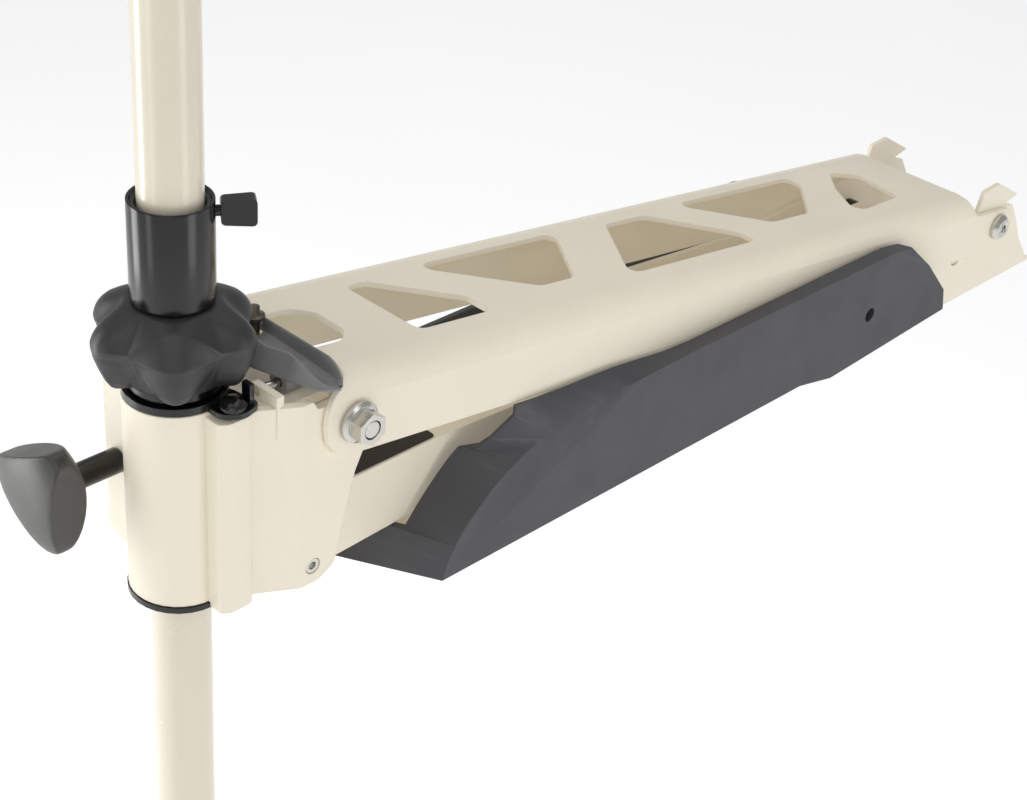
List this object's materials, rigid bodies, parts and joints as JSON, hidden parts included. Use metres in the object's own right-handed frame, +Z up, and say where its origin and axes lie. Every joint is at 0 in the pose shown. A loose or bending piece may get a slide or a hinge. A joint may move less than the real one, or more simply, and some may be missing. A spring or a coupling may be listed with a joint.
{
  "type": "bow-mount trolling motor",
  "caption": "Bow-mount trolling motor: swing-arm deck mount carrying a clamped column with a tiller head above and an electric drive with propeller below.",
  "frame": {"origin": "middle of the deck face under the mount's base channel, midway between the two pairs of deck bolts", "axes": "+Z up along the deployed column; +Y back over the boat's deck, away from the column; +X to starboard, so the propeller faces -X at rest"},
  "size_m": [0.4284, 0.7802, 1.1578],
  "materials": {
    "cream_paint": "satin powder coat",
    "dark_plastic": "fine grained, satin",
    "black_plastic": "smooth, semi gloss",
    "knob_rubber": "satin moulded grey",
    "lever_plastic": "satin moulded mid grey",
    "steel": "zinc plated, bright",
    "label_film": "glossy film",
    "motor_paint": "satin black coat",
    "copper_winding": "varnished copper wire",
    "magnet": "sintered ferrite, dull",
    "board": "green circuit board"
  },
  "bodies": {
    "base": {"base_channel": "cream_paint", "deck_bolt_1": "steel", "deck_bolt_2": "steel", "deck_bolt_3": "steel", "deck_bolt_4": "steel", "side_cover_right": "dark_plastic", "side_cover_left": "dark_plastic", "cover_screw_right": "steel", "cover_screw_left": "steel", "rear_pivot_bolt_right": "steel", "rear_pivot_bolt_left": "steel", "rear_pivot_nut_right": "steel", "rear_pivot_nut_left": "steel", "lower_pivot_rod": "steel", "lower_arm_spacer_right": "black_plastic", "lower_arm_spacer_left": "black_plastic"},
    "upper_arm": {"upper_arm": "cream_paint"},
    "lower_arm": {"lower_arm": "cream_paint", "arm_label": "label_film"},
    "tilt_bracket": {"tilt_bracket": "cream_paint", "front_pivot_bolt": "steel", "front_flange_nut": "steel", "lower_pivot_screw_right": "steel", "lower_pivot_screw_left": "steel", "lower_pivot_bush_right": "black_plastic", "lower_pivot_bush_left": "black_plastic", "top_bearing": "black_plastic", "bearing_screw": "black_plastic", "tension_stud": "steel", "tension_nut": "steel", "lever_pin": "steel"},
    "release_lever": {"release_lever": "lever_plastic"},
    "latch_pin": {"latch_pin": "steel"},
    "tension_knob": {"tension_knob": "knob_rubber"},
    "steering_sleeve": {"steering_sleeve": "black_plastic"},
    "star_knob": {"star_knob": "knob_rubber"},
    "column": {"column_tube": "cream_paint", "column_wiring": "black_plastic", "head_base": "motor_paint", "head_cover": "motor_paint", "control_board": "board", "cable_gland": "black_plastic", "tiller_pin": "steel", "motor_housing": "motor_paint", "nose_cone": "motor_paint", "rear_end_bell": "motor_paint", "skeg": "motor_paint", "magnet_front": "magnet", "magnet_rear": "magnet", "rear_bearing": "steel"},
    "depth_collar": {"depth_collar": "black_plastic"},
    "collar_screw": {"collar_screw": "black_plastic"},
    "tiller": {"tiller_arm": "motor_paint"},
    "twist_grip": {"twist_grip": "knob_rubber"},
    "propeller": {"propeller": "black_plastic", "propeller_nut": "steel", "motor_shaft": "steel", "armature": "copper_winding"}
  },
  "joints": [
    {"name": "arm_swing", "type": "hinge", "parent": "base", "child": "upper_arm", "pos_m": [0, 0.2239, 0.0457], "axis": [1, 0, 0], "range_deg": [-155, 0]},
    {"name": "lower_arm_swing", "type": "hinge", "parent": "base", "child": "lower_arm", "pos_m": [0, 0.1854, 0.033], "axis": [1, 0, 0], "range_deg": [-157, 0]},
    {"name": "column_tilt", "type": "hinge", "parent": "upper_arm", "child": "tilt_bracket", "pos_m": [0, -0.3361, 0.1227], "axis": [1, 0, 0], "range_deg": [0, 65.2]},
    {"name": "release_lever_press", "type": "hinge", "parent": "tilt_bracket", "child": "release_lever", "pos_m": [0.026, -0.357, 0.1424], "axis": [0, 1, 0], "range_deg": [0, 6], "stiffness_Nm_per_rad": 2, "springref_deg": -5.73},
    {"name": "latch_pin_lift", "type": "slide", "parent": "tilt_bracket", "child": "latch_pin", "axis": [0, 0, 1], "range_m": [0, 0.0035]},
    {"name": "tension_knob_turn", "type": "hinge", "parent": "tilt_bracket", "child": "tension_knob", "pos_m": [-0.037, -0.446, 0.087], "axis": [0, -1, 0], "range_deg": [-180, 180]},
    {"name": "steering", "type": "hinge", "parent": "tilt_bracket", "child": "steering_sleeve", "pos_m": [0, -0.4, 0.09], "axis": [0, 0, 1], "continuous": true},
    {"name": "star_knob_turn", "type": "hinge", "parent": "steering_sleeve", "child": "star_knob", "pos_m": [0, -0.4, 0.17], "axis": [0, 0, 1], "range_deg": [-90, 90]},
    {"name": "column_height", "type": "slide", "parent": "steering_sleeve", "child": "column", "axis": [0, 0, 1], "range_m": [0, 0.25]},
    {"name": "depth_collar_slide", "type": "slide", "parent": "column", "child": "depth_collar", "axis": [0, 0, 1], "range_m": [0, 0.145]},
    {"name": "collar_screw_turn", "type": "hinge", "parent": "depth_collar", "child": "collar_screw", "pos_m": [0.01594, -0.37637, 0.228], "axis": [0.5592, 0.829, 0], "continuous": true},
    {"name": "tiller_tilt", "type": "hinge", "parent": "column", "child": "tiller", "pos_m": [-0.106, -0.4, 0.409], "axis": [0, 1, 0], "range_deg": [-10, 50]},
    {"name": "twist_grip_turn", "type": "hinge", "parent": "tiller", "child": "twist_grip", "pos_m": [-0.2, -0.4, 0.409], "axis": [1, 0, 0], "range_deg": [-75, 75]},
    {"name": "propeller_spin", "type": "hinge", "parent": "column", "child": "propeller", "pos_m": [-0.152, -0.4, -0.564], "axis": [1, 0, 0], "continuous": true}
  ],
  "couplings": [
    {"joint": "lower_arm_swing", "follows": "arm_swing", "ratio": 1.0102},
    {"joint": "column_tilt", "follows": "arm_swing", "ratio": -0.41935},
    {"joint": "latch_pin_lift", "follows": "release_lever_press", "m_per_rad": 0.033}
  ]
}
